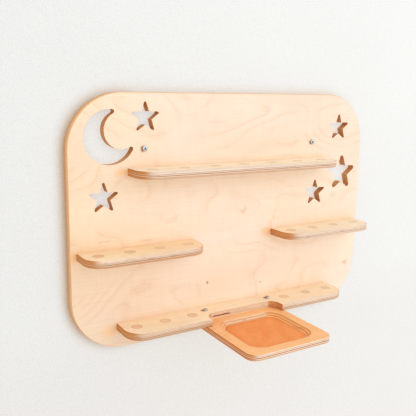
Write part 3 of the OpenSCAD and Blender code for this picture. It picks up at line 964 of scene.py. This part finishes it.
def plaster(name, tint, grain, glow):
    """Pale matte surface that is only there when seen from its front and glows a little.
    grain is the strength of its relief."""
    mat = Material(name)
    at = mat.position()
    fine = mat.noise(at, scale=0.35, detail=5.0, rough=0.62)
    broad = mat.noise(at, scale=0.018, detail=3.0)
    middle = mat.noise(at, scale=0.11, detail=3.0, rough=0.55)
    patch = mat.noise(at, scale=0.004)
    gain = 1.0 + (fine.swing(0.05) + patch.swing(0.03))
    colour = mat.gain(tint, gain)

    # warm shade close to the board, hardly any inside its outline
    x, _, z = mat.split(at)
    shade = (mat.span(mat.openness(distance=0.022, samples=8), over=(0.92, 0.50))
             * mat.span(x, over=(-300.0, -180.0), to=(1.0, 0.25))
             * mat.span(x, over=(285.0, 300.0), to=(1.0, 0.0))
             * mat.span(z, over=(-500.0, -450.0)))
    reach = mat.beyond(x, BOARD_HALF_WIDTH - BOARD_CORNER,
                       z + -BOARD_MIDDLE_Z, BOARD_HALF_HEIGHT - BOARD_CORNER)
    inside = reach < BOARD_CORNER - EDGE_MARGIN
    shade = shade * (1.0 - inside * 0.9)
    colour = mat.tint_by(shade, colour, (0.70, 0.54, 0.40))

    # painted light: the glow grows towards the right and upwards
    rise = (mat.span(x, over=(-600.0, 600.0), to=(0.975, 1.065))
            + mat.span(z, over=(-100.0, 250.0), to=(0.0, 0.03)))
    # what the back of the board, half a millimetre away, is lit by
    ray_length = Value(mat, mat.add("ShaderNodeLightPath").outputs["Ray Length"])
    rise = rise + (ray_length < 0.0012) * 0.45
    # painted light: more glow where the wall shows through the moon and the stars
    rise = rise + inside * 0.050
    glow = mat.mix(inside, glow, scaled(glow, (1.0, 1.006, 1.022)))
    # painted shade: dimmer and slightly warmer low down
    dim = mat.span(z, over=(-260.0, -380.0))
    colour = mat.tint_by(dim, colour, (0.982, 0.972, 0.968))
    glow = mat.tint_by(dim, glow, (0.982, 0.972, 0.968))
    glow = mat.tint_by(shade, glow, (0.66, 0.50, 0.36))
    glow = mat.gain(glow, rise)

    height = fine * (0.55 * grain) + broad * (1.2 * grain) + middle * (1.6 * grain)
    height = height * mat.span(mat.split(at)[0], over=(-350.0, 450.0), to=(1.0, 0.4))
    shader = mat.surface(colour, 0.85, mat.bump(height, strength=0.8), Specular_IOR_Level=0.2,
                         Emission_Color=mat.gain(glow, gain), Emission_Strength=1.0)
    clear = Value(mat, mat.add("ShaderNodeBsdfTransparent").outputs[0])
    sides = (mat.geometry("Backfacing"), shader, clear)
    return mat.finish(mat.fill(mat.add("ShaderNodeMixShader"), sides))


def add_sheet(name, corners, material):
    mesh = bpy.data.meshes.new(name)
    mesh.from_pydata(corners, [], [(0, 1, 2, 3)])
    mesh.materials.append(material)
    sheet = bpy.data.objects.new(name, mesh)
    scene.collection.objects.link(sheet)


FLOOR_Z = -1.05
WALL_Y = 0.0006
WALL_TOP = 3.2
REACH = 5  # of the sheets to the left, right and front
FLOOR_BACK = 3

add_sheet("wall", [(-REACH, WALL_Y, FLOOR_Z), (REACH, WALL_Y, FLOOR_Z),
                   (REACH, WALL_Y, WALL_TOP), (-REACH, WALL_Y, WALL_TOP)],
          plaster("wall_plaster", tint=(0.32, 0.318, 0.310), grain=2.3,
                  glow=(0.545, 0.548, 0.543)))
add_sheet("floor", [(-REACH, -REACH, FLOOR_Z), (REACH, -REACH, FLOOR_Z),
                    (REACH, FLOOR_BACK, FLOOR_Z), (-REACH, FLOOR_BACK, FLOOR_Z)],
          plaster("floor_pale", tint=(0.62, 0.615, 0.605), grain=0.4, glow=(0.34, 0.337, 0.33)))


# ---------------------------------------------------------------- light

LIGHT_TARGET = Vector((0.0, 0.0, -0.1))


def add_area(name, at, side, power, colour=(1, 1, 1)):
    """Square area light aimed at the rack."""
    light = bpy.data.lights.new(name, "AREA")
    light.shape = "RECTANGLE"
    light.size = side
    light.size_y = side
    light.energy = power
    light.color = colour
    lamp = bpy.data.objects.new(name, light)
    scene.collection.objects.link(lamp)
    lamp.location = at
    lamp.rotation_euler = (LIGHT_TARGET - Vector(at)).to_track_quat("-Z", "Y").to_euler()


add_area("key", at=(1.9, -1.7, 1.5), side=1.8, power=5.0, colour=(1.0, 0.985, 0.97))
add_area("fill", at=(-1.6, -2.4, 0.9), side=2.2, power=3.0)
add_area("behind", at=(0.6, 2.2, 1.2), side=2.0, power=12.0)


def build_world():
    """White surround, brightest in front and a little stronger on the right."""
    world = bpy.data.worlds.new("studio")
    scene.world = world
    world.use_nodes = True
    sky = Nodes(world.node_tree)
    background = world.node_tree.nodes["Background"]
    direction = Value(sky, sky.add("ShaderNodeTexCoord").outputs["Generated"])
    x, y, _ = sky.split(direction)
    sideways = sky.span(x, over=(-1.0, 1.0), to=(-0.06, 0.10))
    front = sky.span(y, over=(0.15, -1.0), to=(0.58, 1.38))
    sky.put(background.inputs[0], (1.0, 1.0, 1.0))
    sky.put(background.inputs[1], sideways + front)


build_world()


# ---------------------------------------------------------------- camera

CAMERA_AT = (-0.56918, -0.86855, 0.09233)
YAW, PITCH, ROLL = 0.5433, -0.1977, 0.0159  # radians; yaw 0 looks along +Y
SENSOR_WIDTH = 36.0
LENS = 50.8119231


def add_camera():
    ahead = Vector((math.sin(YAW) * math.cos(PITCH), math.cos(YAW) * math.cos(PITCH),
                    math.sin(PITCH)))
    level_right = Vector((math.cos(YAW), -math.sin(YAW), 0.0))
    level_up = level_right.cross(ahead)
    right = level_right * math.cos(ROLL) + level_up * math.sin(ROLL)
    up = level_up * math.cos(ROLL) - level_right * math.sin(ROLL)
    data = bpy.data.cameras.new("camera")
    data.sensor_width = SENSOR_WIDTH
    data.lens = LENS
    data.clip_start = 0.01
    camera = bpy.data.objects.new("camera", data)
    scene.collection.objects.link(camera)
    rows = zip(right, up, -ahead, CAMERA_AT)
    camera.matrix_world = Matrix((*rows, (0, 0, 0, 1)))
    scene.camera = camera


add_camera()
scene.view_settings.view_transform = "Standard"
scene.view_settings.look = "None"
scene.view_settings.gamma = 0.77

bpy.context.view_layer.update()
